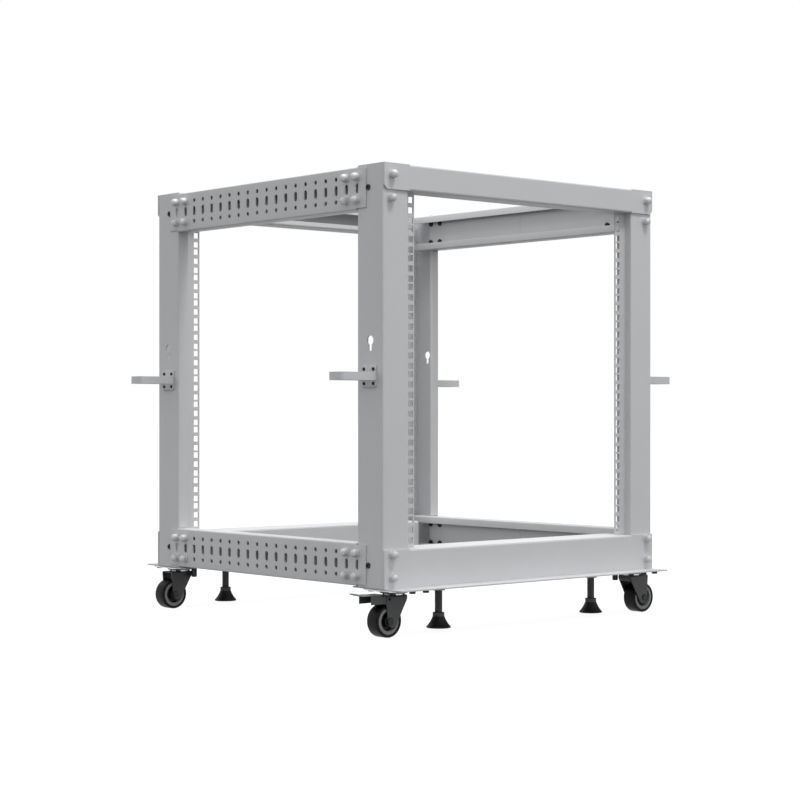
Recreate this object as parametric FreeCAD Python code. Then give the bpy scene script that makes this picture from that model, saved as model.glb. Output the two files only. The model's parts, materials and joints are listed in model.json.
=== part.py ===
import FreeCAD, Part
import os
from math import acos, atan2, cos, pi, sin

# Four post open frame rack, 12 rack units high, of folded steel sheet on
# swivel casters, with four levelling feet. Millimetres. The origin is on the
# floor under the middle of the rack: +X to the right, +Y to the rear, +Z up.

# Frame
RACK_WIDTH = 600.0            # over the side webs of the posts
RACK_DEPTH = 600.0            # over the front faces of the posts
CASTER_HEIGHT = 72.0          # floor to the underside of the base plates
JOINT_GAP = 1.0               # room where one sheet passes another
ROUND_SIDES = 20              # facets of a wheel or a foot pad
PIN_SIDES = 12                # facets of a pin, a rod or a bore

# Rack mounting pattern
RACK_UNIT = 44.45
UNIT_COUNT = 12
UNIT_HOLES = (6.35, 22.225, 38.1)
HOLE_SIDE = 9.5
HOLE_CENTRES = 465.1
RACK_OPENING = 451.0
UNIT_MARGIN = 5.0             # between the rack units and the beams

# Posts
POST_SHEET = 2.0
FLANGE_WIDTH = 24.5
POST_DEPTH = 60.0
POST_LIP = 20.0
FLANGE_SETBACK = 14.0
KEYHOLE_HEIGHT = 449.0
KEYHOLE_INSET = 30.0
KEYHOLE_RADIUS = 7.25
KEYHOLE_NECK = 3.5
KEYHOLE_DROP = 13.0

# Cross beams
BEAM_SHEET = 3.0
TOP_BEAM_HEIGHT = 40.0
TOP_BEAM_DEPTH = 40.0
TOP_BEAM_LIP = 10.0
BOTTOM_BEAM_HEIGHT = 58.6
BOTTOM_BEAM_DEPTH = 60.0
BEAM_END_CHAMFER = 6.0

# Base plates
PLATE_SHEET = 2.0
PLATE_SIDE_INSET = 3.0
PLATE_OVERHANG = 40.0
PLATE_REACH = 75.0

# Side rails
RAIL_SHEET = 2.0
RAIL_HEIGHT = 65.0
RAIL_DEPTH = 30.0
RAIL_LIP = 10.0
RAIL_END_INSET = 38.0
RAIL_FLOOR_GAP = 1.6
RAIL_TOP_DROP = 2.5
RAIL_PITCH = 25.4
RAIL_HOLE_MARGIN = 18.0       # from the end of a rail to its holes, at the least
ROW_OFFSET = 17.5
SMALL_HOLE_SIDE = 6.2
SLOT_WIDTH = 8.0
SLOT_LENGTH = 15.0

# Channels inside the side rails
LINER_SHEET = 1.5
LINER_DEPTH = 15.0
LINER_END_INSET = 42.0
LINER_SEAM = 1.0

# Cable hooks
HOOK_HEIGHT = 394.5
HOOK_REACH = 67.5
HOOK_WIDTH = 34.0
HOOK_STRAP = 12.5
HOOK_SHEET = 2.5
HOOK_INSET = 31.0
HOOK_BASE = 34.0
HOOK_BASE_SHEET = 2.0

# Casters
SWIVEL_SIDE_INSET = 28.0
SWIVEL_FACE_INSET = 15.0
CASTER_PLATE_LENGTH = 56.0
CASTER_PLATE_WIDTH = 64.0
CASTER_PLATE_SHEET = 3.0
SWIVEL_HEAD_RADIUS = 19.0
SWIVEL_HEAD_HEIGHT = 3.2
SWIVEL_GAP = 0.3
FORK_SHEET = 2.0
FORK_LENGTH = 39.4
FORK_WIDTH = 27.6
FORK_SKIRT = 15.0
FORK_SHOULDER = 10.5
FORK_EYE_RADIUS = 13.0
FORK_EYE_LEAD = 5.0           # from the axle to the middle of the rounded end
FORK_EYE_FACETS = 7
FORK_TRAIL = 13.0
WHEEL_RADIUS = 25.0
TYRE_WIDTH = 20.0
TYRE_SHOULDER = 4.0
RIM_RADIUS = 19.5
HUB_RADIUS = 7.0
HUB_SIDE_GAP = 0.4
WEB_WIDTH = 8.0
RIM_WALL = 3.0
AXLE_RADIUS = 4.0
AXLE_CLEARANCE = 0.05
AXLE_HEAD_RADIUS = 6.5
AXLE_HEAD_HEIGHT = 3.0

# Brake pedals, on two of the casters
BRAKED = ("front_left", "rear_right")
PEDAL_SHEET = 2.0
PEDAL_REACH = 52.0            # from the swivel's axis to the end of the hood
PEDAL_HEIGHT = 12.0
PEDAL_FORK_GAP = 1.5
PEDAL_EAR_GAP = 0.4
PEDAL_EAR_HEIGHT = 8.0
PEDAL_PIN_INSET = 5.0         # from the fork's rear edge to the pin
PEDAL_PIN_DROP = 7.0
PEDAL_PIN_RADIUS = 2.0
TAB_LENGTH = 26.0
TAB_OVERHANG = 14.0
TAB_WIDTH = 20.0
TAB_SHEET = 3.0

# Levelling feet
FOOT_SIDE_INSET = 129.0
FOOT_FACE_INSET = 18.5
FOOT_LIFT = 6.0
FOOT_PAD_RADIUS = 19.0
FOOT_PAD_EDGE = 3.0
FOOT_PAD_HEIGHT = 18.0
FOOT_COLLAR_RADIUS = 9.25
FOOT_COLLAR_HEIGHT = 6.0
STEM_RADIUS = 5.75
STEM_CLEARANCE = 0.05
STEM_TOP = 104.0
NUT_ACROSS_FLATS = 18.0
NUT_HEIGHT = 8.0

Vector = FreeCAD.Vector
ORIGIN = Vector(0, 0, 0)
X_AXIS = Vector(1, 0, 0)
Y_AXIS = Vector(0, 1, 0)
Z_AXIS = Vector(0, 0, 1)

LEFT = -RACK_WIDTH / 2
FRONT = -RACK_DEPTH / 2
FLANGE_EDGE = (RACK_WIDTH - RACK_OPENING) / 2
POST_FACE = FLANGE_EDGE - FLANGE_WIDTH
BASE_TOP = CASTER_HEIGHT + PLATE_SHEET
BOTTOM_BEAM_TOP = BASE_TOP + BOTTOM_BEAM_HEIGHT
FIRST_UNIT = BOTTOM_BEAM_TOP + UNIT_MARGIN
TOP_BEAM_BOTTOM = FIRST_UNIT + UNIT_COUNT * RACK_UNIT + UNIT_MARGIN
RACK_TOP = TOP_BEAM_BOTTOM + TOP_BEAM_HEIGHT
BOTTOM_RAIL_MIDDLE = BASE_TOP + RAIL_FLOOR_GAP + RAIL_HEIGHT / 2
TOP_RAIL_MIDDLE = RACK_TOP - RAIL_TOP_DROP - RAIL_HEIGHT / 2
HEAD_TOP = CASTER_HEIGHT - CASTER_PLATE_SHEET
FORK_TOP = HEAD_TOP - SWIVEL_HEAD_HEIGHT - SWIVEL_GAP

# Which way each corner is mirrored from the front left one
CORNERS = {
    "front_left": (),
    "front_right": (X_AXIS,),
    "rear_left": (Y_AXIS,),
    "rear_right": (X_AXIS, Y_AXIS),
}


def at_corner(shape, corner):
    for axis in CORNERS[corner]:
        shape = shape.mirror(ORIGIN, axis)
    return shape


def at_front_left(side_inset, face_inset, height):
    """The point that far in from the left side and the front face."""
    return Vector(LEFT + side_inset, FRONT + face_inset, height)


def box(low, high):
    size = high - low
    return Part.makeBox(size.x, size.y, size.z, low)


def ring(centre, radius, axis, sides):
    """The corners of a regular polygon about the axis, a flat side foremost."""
    across = Vector(axis.y, axis.z, axis.x) * radius
    step = 360 / sides
    return [centre + FreeCAD.Rotation(axis, (k + 0.5) * step).multVec(across) for k in range(sides)]


def polygon(corners):
    return Part.Face(Part.makePolygon(corners + corners[:1]))


def bar(centre, radius, sides, length):
    """A bar whose corners lie on the radius, drawn out by the vector length."""
    return polygon(ring(centre, radius, Vector(length).normalize(), sides)).extrude(length)


def bore(centre, radius, sides, length):
    """A bar whose flats lie on the radius, so that a round of it passes."""
    return bar(centre, radius / cos(pi / sides), sides, length)


def turned(profile, centre, axis):
    """A closed profile of radii and places along the axis, carried round the
    axis in flat facets that touch the radii."""
    rings = [
        ring(centre + axis * place, radius / cos(pi / ROUND_SIDES), axis, ROUND_SIDES)
        for radius, place in profile
    ]
    faces = []
    for low, high in zip(rings, rings[1:] + rings[:1]):
        for k in range(ROUND_SIDES):
            faces.append(polygon([low[k - 1], low[k], high[k], high[k - 1]]))
    solid = Part.Solid(Part.makeShell(faces))
    return solid if solid.Volume > 0 else solid.reversed()


def eased(corner, step, next_step, radius):
    """The outside of a square fold, rounded in two facets."""
    middle = corner + (next_step - step) * (radius * (1 - cos(pi / 4)))
    return [corner - step * radius, middle, corner + next_step * radius]


def folded_sheet(points, thickness, length):
    """A sheet folded square along the points and drawn out by the vector length.
    Its thickness lies to the left of the points, seen against that vector."""
    normal = Vector(length).normalize()
    steps = [(end - start).normalize() for start, end in zip(points, points[1:])]
    lefts = [normal.cross(step) for step in steps]
    right_side = [points[0]]
    left_side = [points[0] + lefts[0] * thickness]
    for corner, step, left, next_step in zip(points[1:], steps, lefts, steps[1:]):
        across = corner + (left + normal.cross(next_step)) * thickness
        if normal.dot(step.cross(next_step)) > 0:
            right_side += eased(corner, step, next_step, thickness)
            left_side.append(across)
        else:
            right_side.append(corner)
            left_side += eased(across, step, next_step, thickness)
    right_side.append(points[-1])
    left_side.append(points[-1] + lefts[-1] * thickness)
    return polygon(right_side + left_side[::-1]).extrude(length)


def post():
    """Side web, lip, front face and the set back mounting flange, in one sheet."""
    section = [
        (POST_LIP, POST_DEPTH),
        (0, POST_DEPTH),
        (0, 0),
        (POST_FACE, 0),
        (POST_FACE, FLANGE_SETBACK),
        (FLANGE_EDGE, FLANGE_SETBACK),
    ]
    points = [at_front_left(inset, depth, BASE_TOP) for inset, depth in section]
    shape = folded_sheet(points, POST_SHEET, Z_AXIS * (RACK_TOP - BASE_TOP))

    behind_flange = FLANGE_SETBACK + POST_SHEET + JOINT_GAP
    cuts = [
        box(at_front_left(POST_FACE + JOINT_GAP, 0, BASE_TOP),
            at_front_left(FLANGE_EDGE + JOINT_GAP, behind_flange, BOTTOM_BEAM_TOP + JOINT_GAP)),
        box(at_front_left(POST_FACE + JOINT_GAP, 0, TOP_BEAM_BOTTOM - JOINT_GAP),
            at_front_left(FLANGE_EDGE + JOINT_GAP, behind_flange, RACK_TOP)),
    ]
    half_notch = RAIL_HEIGHT / 2 + JOINT_GAP
    for middle in (BOTTOM_RAIL_MIDDLE, TOP_RAIL_MIDDLE):
        low = at_front_left(POST_SHEET, POST_DEPTH - POST_SHEET, middle - half_notch)
        high = at_front_left(POST_LIP + JOINT_GAP, POST_DEPTH + JOINT_GAP, middle + half_notch)
        cuts.append(box(low, high))

    hole_inset = (RACK_WIDTH - HOLE_CENTRES) / 2
    half_hole = Vector(HOLE_SIDE / 2, 0, HOLE_SIDE / 2)
    for unit in range(UNIT_COUNT):
        for offset in UNIT_HOLES:
            height = FIRST_UNIT + unit * RACK_UNIT + offset
            low = at_front_left(hole_inset, FLANGE_SETBACK, height) - half_hole
            high = at_front_left(hole_inset, behind_flange, height) + half_hole
            cuts.append(box(low, high))

    eye = at_front_left(0, KEYHOLE_INSET, KEYHOLE_HEIGHT)
    foot = at_front_left(0, KEYHOLE_INSET, KEYHOLE_HEIGHT - KEYHOLE_DROP)
    neck = Vector(0, KEYHOLE_NECK, 0)
    through = X_AXIS * POST_SHEET
    cuts.append(bore(eye, KEYHOLE_RADIUS, PIN_SIDES, through))
    cuts.append(bar(foot, KEYHOLE_NECK / cos(pi / PIN_SIDES), PIN_SIDES, through))
    cuts.append(box(foot - neck, eye + neck + through))
    return shape.cut(cuts)


def face_plate(low_height, high_height, chamfered):
    """The flat front of a beam, across both posts, with its lower corners cut."""
    drop = BEAM_END_CHAMFER if chamfered else 0
    outline = [
        Vector(LEFT, 0, high_height),
        Vector(LEFT, 0, low_height + drop),
        Vector(LEFT + drop, 0, low_height),
        Vector(-LEFT - drop, 0, low_height),
        Vector(-LEFT, 0, low_height + drop),
        Vector(-LEFT, 0, high_height),
    ]
    corners = [point + Y_AXIS * FRONT for point in outline]
    return polygon(corners).extrude(-Y_AXIS * BEAM_SHEET)


def beam(section, low_height, high_height, chamfered):
    """A folded section between the posts, with its face run out over them."""
    inset = POST_FACE + JOINT_GAP
    points = [at_front_left(inset, depth, height) for depth, height in section]
    folded = folded_sheet(points, BEAM_SHEET, X_AXIS * (RACK_WIDTH - 2 * inset))
    plate = face_plate(low_height, high_height, chamfered)
    between = box(at_front_left(inset, -2 * BEAM_SHEET, low_height),
                  at_front_left(RACK_WIDTH - inset, BEAM_SHEET, high_height))
    return folded.fuse(plate.cut(between)).removeSplitter()


def top_beam():
    """A lipped channel that opens to the inside of the rack."""
    section = [
        (TOP_BEAM_DEPTH, RACK_TOP - TOP_BEAM_LIP),
        (TOP_BEAM_DEPTH, RACK_TOP),
        (-BEAM_SHEET, RACK_TOP),
        (-BEAM_SHEET, TOP_BEAM_BOTTOM),
        (TOP_BEAM_DEPTH, TOP_BEAM_BOTTOM),
        (TOP_BEAM_DEPTH, TOP_BEAM_BOTTOM + TOP_BEAM_LIP),
    ]
    return beam(section, TOP_BEAM_BOTTOM, RACK_TOP, True)


def bottom_beam():
    """An inverted channel that stands on the base plate."""
    section = [
        (BOTTOM_BEAM_DEPTH, BASE_TOP),
        (BOTTOM_BEAM_DEPTH, BOTTOM_BEAM_TOP),
        (-BEAM_SHEET, BOTTOM_BEAM_TOP),
        (-BEAM_SHEET, BASE_TOP),
    ]
    return beam(section, BASE_TOP, BOTTOM_BEAM_TOP, False)


def foot_place(height):
    return at_front_left(FOOT_SIDE_INSET, FOOT_FACE_INSET, height)


def base_plate():
    """The plate under a beam and its two posts, with a nut for each foot."""
    low = at_front_left(PLATE_SIDE_INSET, -PLATE_OVERHANG, CASTER_HEIGHT)
    high = at_front_left(RACK_WIDTH - PLATE_SIDE_INSET, PLATE_REACH, BASE_TOP)
    shape = box(low, high)
    foot = foot_place(CASTER_HEIGHT - NUT_HEIGHT)
    nut = bore(foot, NUT_ACROSS_FLATS / 2, 6, Z_AXIS * NUT_HEIGHT)
    thread = bore(foot, STEM_RADIUS + STEM_CLEARANCE, PIN_SIDES, Z_AXIS * (NUT_HEIGHT + PLATE_SHEET))
    for corner in ("front_left", "front_right"):
        shape = shape.fuse(at_corner(nut, corner)).cut(at_corner(thread, corner))
    return shape.removeSplitter()


def rail_columns():
    """Where the columns of holes lie along a rail, either side of its middle."""
    web_length = RACK_DEPTH - 2 * RAIL_END_INSET
    count = int((web_length - 2 * RAIL_HOLE_MARGIN) / RAIL_PITCH) + 1
    return [(column - (count - 1) / 2) * RAIL_PITCH for column in range(count)]


def rail(middle):
    """A lipped channel that opens to the inside. Its perforated web runs on
    over the posts; its flanges stop at them."""
    outside = LEFT - RAIL_SHEET
    inside = outside + RAIL_DEPTH
    low = middle - RAIL_HEIGHT / 2
    high = middle + RAIL_HEIGHT / 2
    start = FRONT + POST_DEPTH + JOINT_GAP
    section = [
        (inside, low + RAIL_LIP),
        (inside, low),
        (outside, low),
        (outside, high),
        (inside, high),
        (inside, high - RAIL_LIP),
    ]
    points = [Vector(side, start, height) for side, height in section]
    folded = folded_sheet(points, RAIL_SHEET, Y_AXIS * (-2 * start))
    web_end = FRONT + RAIL_END_INSET
    for end_low, end_high in ((web_end, start), (-start, -web_end)):
        tongue = box(Vector(outside, end_low, low + RAIL_SHEET), Vector(LEFT, end_high, high - RAIL_SHEET))
        folded = folded.fuse(tongue)
    cuts = []
    rows = ((-ROW_OFFSET, SMALL_HOLE_SIDE), (0, SLOT_LENGTH), (ROW_OFFSET, SMALL_HOLE_SIDE))
    for place in rail_columns():
        for rise, height in rows:
            width = SLOT_WIDTH if rise == 0 else SMALL_HOLE_SIDE
            half = Vector(0, width / 2, height / 2)
            centre = Vector(outside, place, middle + rise)
            cuts.append(box(centre - half, centre + half + X_AXIS * RAIL_SHEET))
    return folded.removeSplitter().cut(cuts)


def rail_liner(middle):
    """Two half length channels inside a rail, from the posts to a middle seam."""
    outside = LEFT + POST_SHEET
    inside = LEFT + POST_SHEET + LINER_DEPTH
    half_height = RAIL_HEIGHT / 2 - RAIL_SHEET
    start = FRONT + LINER_END_INSET
    section = [
        (outside, middle - half_height),
        (inside, middle - half_height),
        (inside, middle + half_height),
        (outside, middle + half_height),
    ]
    points = [Vector(side, start, height) for side, height in section]
    front_half = folded_sheet(points[::-1], LINER_SHEET, Y_AXIS * (-LINER_SEAM / 2 - start))
    return Part.makeCompound([front_half, front_half.mirror(ORIGIN, Y_AXIS)])


def cable_hook():
    """A closed loop of flat strap on a base plate, on the web of a post."""
    foot = at_front_left(-HOOK_BASE_SHEET, HOOK_INSET, HOOK_HEIGHT)
    half_base = HOOK_BASE / 2
    base = box(foot + Vector(0, -half_base, -half_base), foot + Vector(HOOK_BASE_SHEET, half_base, half_base))
    half_width = Y_AXIS * (HOOK_WIDTH / 2)
    bottom = foot - Z_AXIS * (HOOK_STRAP / 2)
    tip = bottom - X_AXIS * (HOOK_REACH - HOOK_BASE_SHEET)
    path = [bottom - half_width, tip - half_width, tip + half_width, bottom + half_width]
    strap = folded_sheet(path[::-1], HOOK_SHEET, Z_AXIS * HOOK_STRAP)
    return base.fuse(strap).removeSplitter()


def swivel_place(height):
    return at_front_left(SWIVEL_SIDE_INSET, SWIVEL_FACE_INSET, height)


def wheel_place(side_shift):
    """A point on the wheel's axle, shifted along it."""
    return swivel_place(WHEEL_RADIUS) + Vector(-FORK_TRAIL, side_shift, 0)


def caster_plate():
    """The fixed top of a caster: its plate and the upper half of the race."""
    half = Vector(CASTER_PLATE_LENGTH / 2, CASTER_PLATE_WIDTH / 2, 0)
    plate = box(swivel_place(HEAD_TOP) - half, swivel_place(CASTER_HEIGHT) + half)
    race = bar(swivel_place(HEAD_TOP), SWIVEL_HEAD_RADIUS, ROUND_SIDES, -Z_AXIS * SWIVEL_HEAD_HEIGHT)
    return plate.fuse(race)


def touch_angle(centre, radius, point, side):
    """Where on a circle in the XZ plane a line from the point touches it."""
    reach = point - centre
    return atan2(reach.z, reach.x) + side * acos(radius / reach.Length)


def cheek_outline(side):
    """A cheek narrows from the crown to a rounded end about the axle."""
    centre = wheel_place(side) + X_AXIS * FORK_EYE_LEAD
    crown = swivel_place(FORK_TOP) + Y_AXIS * side
    half_crown = X_AXIS * (FORK_LENGTH / 2)
    shoulder = crown + half_crown - Z_AXIS * FORK_SHOULDER
    first = touch_angle(centre, FORK_EYE_RADIUS, shoulder, -1)
    last = touch_angle(centre, FORK_EYE_RADIUS, crown - half_crown, 1) - 2 * pi
    angles = [first + (last - first) * k / FORK_EYE_FACETS for k in range(FORK_EYE_FACETS + 1)]
    end = [centre + Vector(cos(angle), 0, sin(angle)) * FORK_EYE_RADIUS for angle in angles]
    return [crown - half_crown, crown + half_crown, shoulder] + end


def caster_fork():
    """A crown and two tapered cheeks pressed from one sheet, with a skirt ahead."""
    outside = FORK_WIDTH / 2
    inside = outside - FORK_SHEET
    trail = swivel_place(0).x - FORK_LENGTH / 2
    lead = swivel_place(0).x + FORK_LENGTH / 2
    middle = swivel_place(0).y
    block = polygon(cheek_outline(-outside)).extrude(Y_AXIS * FORK_WIDTH)
    hollow = box(Vector(trail - FORK_LENGTH, middle - inside, 0),
                 Vector(lead - FORK_SHEET, middle + inside, FORK_TOP - FORK_SHEET))
    below_skirt = box(Vector(trail, middle - inside, 0),
                      Vector(lead, middle + inside, FORK_TOP - FORK_SKIRT))
    axle_hole = bar(wheel_place(-outside), AXLE_RADIUS, PIN_SIDES, Y_AXIS * FORK_WIDTH)
    return block.cut([hollow, below_skirt, axle_hole])


def caster_axle():
    """A rivet through both cheeks, with a flat head on each."""
    half_width = FORK_WIDTH / 2
    shape = bar(wheel_place(-half_width), AXLE_RADIUS, PIN_SIDES, Y_AXIS * FORK_WIDTH)
    for face in (-half_width - AXLE_HEAD_HEIGHT, half_width):
        shape = shape.fuse(bar(wheel_place(face), AXLE_HEAD_RADIUS, PIN_SIDES, Y_AXIS * AXLE_HEAD_HEIGHT))
    return shape.removeSplitter()


def wheel_tyre():
    """A solid tyre with bevelled shoulders."""
    half = TYRE_WIDTH / 2
    shoulder = WHEEL_RADIUS - TYRE_SHOULDER
    tread = half - TYRE_SHOULDER
    profile = [
        (RIM_RADIUS, -half),
        (RIM_RADIUS, half),
        (shoulder, half),
        (WHEEL_RADIUS, tread),
        (WHEEL_RADIUS, -tread),
        (shoulder, -half),
    ]
    return turned(profile, wheel_place(0), Y_AXIS)


def wheel_hub():
    """The wheel's centre: a rim, a thinner web and a boss with the axle's bore."""
    half_rim = TYRE_WIDTH / 2
    half_web = WEB_WIDTH / 2
    half_boss = FORK_WIDTH / 2 - FORK_SHEET - HUB_SIDE_GAP
    rim_inside = RIM_RADIUS - RIM_WALL
    one_side = [(rim_inside, half_web), (rim_inside, half_rim), (RIM_RADIUS, half_rim)]
    other_side = [(radius, -place) for radius, place in reversed(one_side)]
    centre = [(AXLE_RADIUS, -half_web), (AXLE_RADIUS, half_web)]
    disc = turned(one_side + other_side + centre, wheel_place(0), Y_AXIS)
    boss = bar(wheel_place(-half_boss), HUB_RADIUS, PIN_SIDES, Y_AXIS * 2 * half_boss)
    hole = bore(wheel_place(-half_boss), AXLE_RADIUS + AXLE_CLEARANCE, PIN_SIDES, Y_AXIS * 2 * half_boss)
    return disc.fuse(boss).cut(hole).removeSplitter()


def pedal_pin(radius_gap):
    """The brake pedal's pin, across both cheeks, with room about it."""
    outside = FORK_WIDTH / 2
    place = swivel_place(FORK_TOP - PEDAL_PIN_DROP)
    place += Vector(PEDAL_PIN_INSET - FORK_LENGTH / 2, -outside, 0)
    return bore(place, PEDAL_PIN_RADIUS + radius_gap, PIN_SIDES, Y_AXIS * FORK_WIDTH)


def caster_brake():
    """A hood that covers the wheel's rear, with a tab for the toe and two ears
    inside the fork, on a pin."""
    outside = FORK_WIDTH / 2
    middle = swivel_place(0)
    fork_edge = middle.x - FORK_LENGTH / 2
    low = Vector(middle.x - PEDAL_REACH, middle.y - outside, FORK_TOP - PEDAL_HEIGHT)
    high = Vector(fork_edge - PEDAL_FORK_GAP, middle.y + outside, FORK_TOP)
    side = Y_AXIS * PEDAL_SHEET
    hood = box(low, high).cut(box(low + side, high - side - Z_AXIS * PEDAL_SHEET))

    ear_side = outside - FORK_SHEET - PEDAL_EAR_GAP
    ear_middle = FORK_TOP - PEDAL_PIN_DROP
    ear_end = fork_edge + PEDAL_PIN_INSET + PEDAL_EAR_HEIGHT / 2
    ear_low = Vector(high.x - PEDAL_SHEET, middle.y - ear_side, ear_middle - PEDAL_EAR_HEIGHT / 2)
    ear_high = Vector(ear_end, middle.y + ear_side, ear_middle + PEDAL_EAR_HEIGHT / 2)
    bridge = box(Vector(ear_low.x, low.y, ear_low.z), Vector(high.x, high.y, ear_high.z))
    ears = box(ear_low, ear_high).cut(box(Vector(high.x, ear_low.y, ear_low.z) + side, ear_high - side))

    tab_start = low.x - TAB_OVERHANG
    tab = box(Vector(tab_start, middle.y - TAB_WIDTH / 2, FORK_TOP),
              Vector(tab_start + TAB_LENGTH, middle.y + TAB_WIDTH / 2, FORK_TOP + TAB_SHEET))
    return hood.fuse([bridge, ears, tab, pedal_pin(0)]).removeSplitter()


def foot_stem():
    """The threaded rod of a levelling foot, with the collar that turns it."""
    collar_place = foot_place(FOOT_LIFT + FOOT_PAD_HEIGHT)
    bottom = foot_place(FOOT_LIFT + FOOT_PAD_EDGE)
    collar = bar(collar_place, FOOT_COLLAR_RADIUS, PIN_SIDES, Z_AXIS * FOOT_COLLAR_HEIGHT)
    rod = bar(bottom, STEM_RADIUS, PIN_SIDES, Z_AXIS * (STEM_TOP - bottom.z))
    return collar.fuse(rod).removeSplitter()


def foot_pad():
    """A round pad that narrows to the collar, with a socket for the stem."""
    socket = STEM_RADIUS + STEM_CLEARANCE
    profile = [
        (socket, 0),
        (FOOT_PAD_RADIUS, 0),
        (FOOT_PAD_RADIUS, FOOT_PAD_EDGE),
        (FOOT_COLLAR_RADIUS, FOOT_PAD_HEIGHT),
        (socket, FOOT_PAD_HEIGHT),
    ]
    return turned(profile, foot_place(FOOT_LIFT), Z_AXIS)


def all_nodes():
    nodes = {}
    across = {"top_beam": top_beam(), "bottom_beam": bottom_beam(), "base_plate": base_plate()}
    for name, shape in across.items():
        nodes[name + "_front"] = shape
        nodes[name + "_rear"] = at_corner(shape, "rear_left")
    for level, middle in (("top", TOP_RAIL_MIDDLE), ("bottom", BOTTOM_RAIL_MIDDLE)):
        for name, shape in (("rail", rail(middle)), ("rail_liner", rail_liner(middle))):
            nodes[f"{level}_{name}_left"] = shape
            nodes[f"{level}_{name}_right"] = at_corner(shape, "front_right")
    at_each_corner = {
        "post": post(),
        "caster_fork": caster_fork(),
        "caster_axle": caster_axle(),
        "wheel_tyre": wheel_tyre(),
        "wheel_hub": wheel_hub(),
        "foot_stem": foot_stem(),
        "foot_pad": foot_pad(),
    }
    for name, shape in at_each_corner.items():
        for corner in CORNERS:
            nodes[f"{name}_{corner}"] = at_corner(shape, corner)
    for corner in BRAKED:
        pin_hole = at_corner(pedal_pin(AXLE_CLEARANCE), corner)
        nodes[f"caster_fork_{corner}"] = nodes[f"caster_fork_{corner}"].cut(pin_hole)
        nodes[f"caster_brake_{corner}"] = at_corner(caster_brake(), corner)
    nodes["cable_hooks"] = Part.makeCompound([at_corner(cable_hook(), corner) for corner in CORNERS])
    nodes["caster_plates"] = Part.makeCompound([at_corner(caster_plate(), corner) for corner in CORNERS])
    return nodes


os.makedirs("parts", exist_ok=True)
for node, shape in all_nodes().items():
    shape.exportStep(f"parts/{node}.step")
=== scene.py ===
import json
from math import acos, atan2, cos, pi, sin

import bmesh
import bpy
from mathutils import Matrix, Vector


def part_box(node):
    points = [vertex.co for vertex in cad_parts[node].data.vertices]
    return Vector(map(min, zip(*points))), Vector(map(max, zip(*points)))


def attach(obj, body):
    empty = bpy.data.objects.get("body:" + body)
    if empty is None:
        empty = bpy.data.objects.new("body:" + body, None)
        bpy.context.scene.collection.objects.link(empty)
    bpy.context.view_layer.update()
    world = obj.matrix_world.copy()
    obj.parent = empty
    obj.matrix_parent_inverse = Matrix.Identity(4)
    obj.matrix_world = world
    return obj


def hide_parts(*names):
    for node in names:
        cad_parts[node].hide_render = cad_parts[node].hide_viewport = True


# Looks of a four post open frame rack, 12 units high: powder coated sheet
# steel on four swivel casters, with four levelling feet.
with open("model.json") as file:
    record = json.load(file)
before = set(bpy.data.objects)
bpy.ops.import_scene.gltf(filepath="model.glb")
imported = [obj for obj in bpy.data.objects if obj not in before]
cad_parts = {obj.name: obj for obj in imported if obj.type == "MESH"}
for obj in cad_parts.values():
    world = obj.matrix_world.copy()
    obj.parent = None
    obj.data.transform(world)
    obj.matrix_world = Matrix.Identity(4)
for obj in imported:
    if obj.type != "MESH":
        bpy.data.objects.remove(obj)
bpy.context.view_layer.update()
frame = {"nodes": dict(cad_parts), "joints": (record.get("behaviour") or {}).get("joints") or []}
scene = bpy.context.scene

# --- Camera ---------------------------------------------------------------
# A long lens at half the rack's height, held level, looks at the front left
# corner. A slight rise of the lens frames the rack.
camera = bpy.data.objects.new("camera", bpy.data.cameras.new("camera"))
camera.data.lens = 86.6
camera.data.sensor_width = 36.0
camera.data.shift_y = 0.0121
camera.location = (-2.1735, -2.4977, 0.344)
camera.rotation_euler = (pi / 2, 0, -atan2(0.6554, 0.7552))
scene.collection.objects.link(camera)
scene.camera = camera
scene.view_settings.view_transform = "Standard"


# --- Floor and light ------------------------------------------------------
# A pale floor that runs on into a white background. The sky gives an even
# light. One soft lamp hangs in front, well above the rack, and a weaker
# one straight over its open top.
def linear(hex_colour):
    """An sRGB hex colour as linear red, green, blue and alpha."""
    channels = [int(hex_colour[i:i + 2], 16) / 255 for i in (1, 3, 5)]
    return [c / 12.92 if c <= 0.04045 else ((c + 0.055) / 1.055) ** 2.4 for c in channels] + [1.0]


def add_node(tree, kind, inputs=None, **settings):
    """Adds a shader node, with its settings and with values or links for its inputs."""
    made = tree.nodes.new(kind)
    for key, value in settings.items():
        setattr(made, key, value)
    for key, value in (inputs or {}).items():
        if isinstance(value, bpy.types.NodeSocket):
            tree.links.new(value, made.inputs[key])
        else:
            made.inputs[key].default_value = value
    return made


def seen_directly(tree):
    """1 for what the camera sees, straight, mirrored or through glass, and 0 for light."""
    path = add_node(tree, "ShaderNodeLightPath")
    seen = add_node(tree, "ShaderNodeMath",
                    {0: path.outputs["Is Camera Ray"], 1: path.outputs["Is Glossy Ray"]}, operation="MAXIMUM")
    return add_node(tree, "ShaderNodeMath", {0: seen.outputs[0], 1: path.outputs["Is Transmission Ray"]},
                    operation="MAXIMUM").outputs[0]


WORLD_LIGHT = 0.87
world = bpy.data.worlds.new("studio")
scene.world = world
world.use_nodes = True
tree = world.node_tree
tree.nodes.clear()
backdrop = add_node(tree, "ShaderNodeBackground", {"Color": linear("#FFFFFF"), "Strength": 1.0})
ambient = add_node(tree, "ShaderNodeBackground", {"Color": linear("#FFFFFF"), "Strength": WORLD_LIGHT})
sky = add_node(tree, "ShaderNodeMixShader",
               {0: seen_directly(tree), 1: ambient.outputs[0], 2: backdrop.outputs[0]})
add_node(tree, "ShaderNodeOutputWorld", {"Surface": sky.outputs[0]})

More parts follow.
